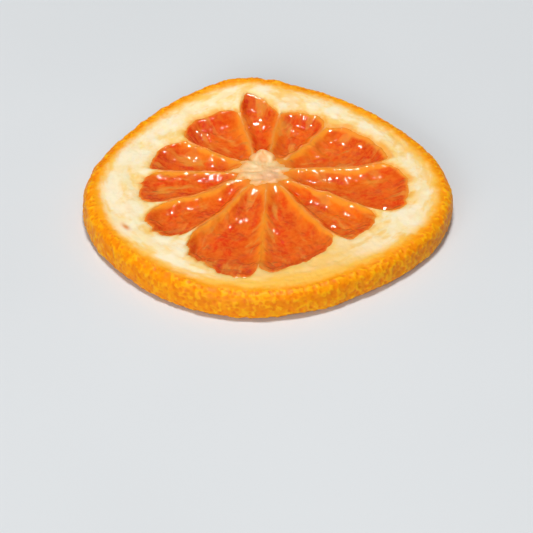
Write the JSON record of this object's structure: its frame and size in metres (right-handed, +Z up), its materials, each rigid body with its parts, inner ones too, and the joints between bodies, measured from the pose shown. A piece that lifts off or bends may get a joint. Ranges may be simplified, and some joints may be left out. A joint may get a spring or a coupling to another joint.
{
  "type": "dried grapefruit slice",
  "caption": "Round slice of dried citrus fruit, with a porous rind, a thick pith rim, sunken glossy pulp between thin membranes and a raised core, lying flat with its far edge curled up.",
  "frame": {"origin": "on the table, under the middle of the slice's footprint", "axes": "+Z up out of the upper cut face, +Y towards the curled-up edge, +X to the right of a viewer who looks along +Y"},
  "size_m": [0.0762, 0.0734, 0.009],
  "materials": {
    "fruit": "moist orange rind, cream pith and glossy red-orange pulp"
  },
  "bodies": {
    "root": {"grapefruit_slice": "fruit"}
  },
  "joints": []
}
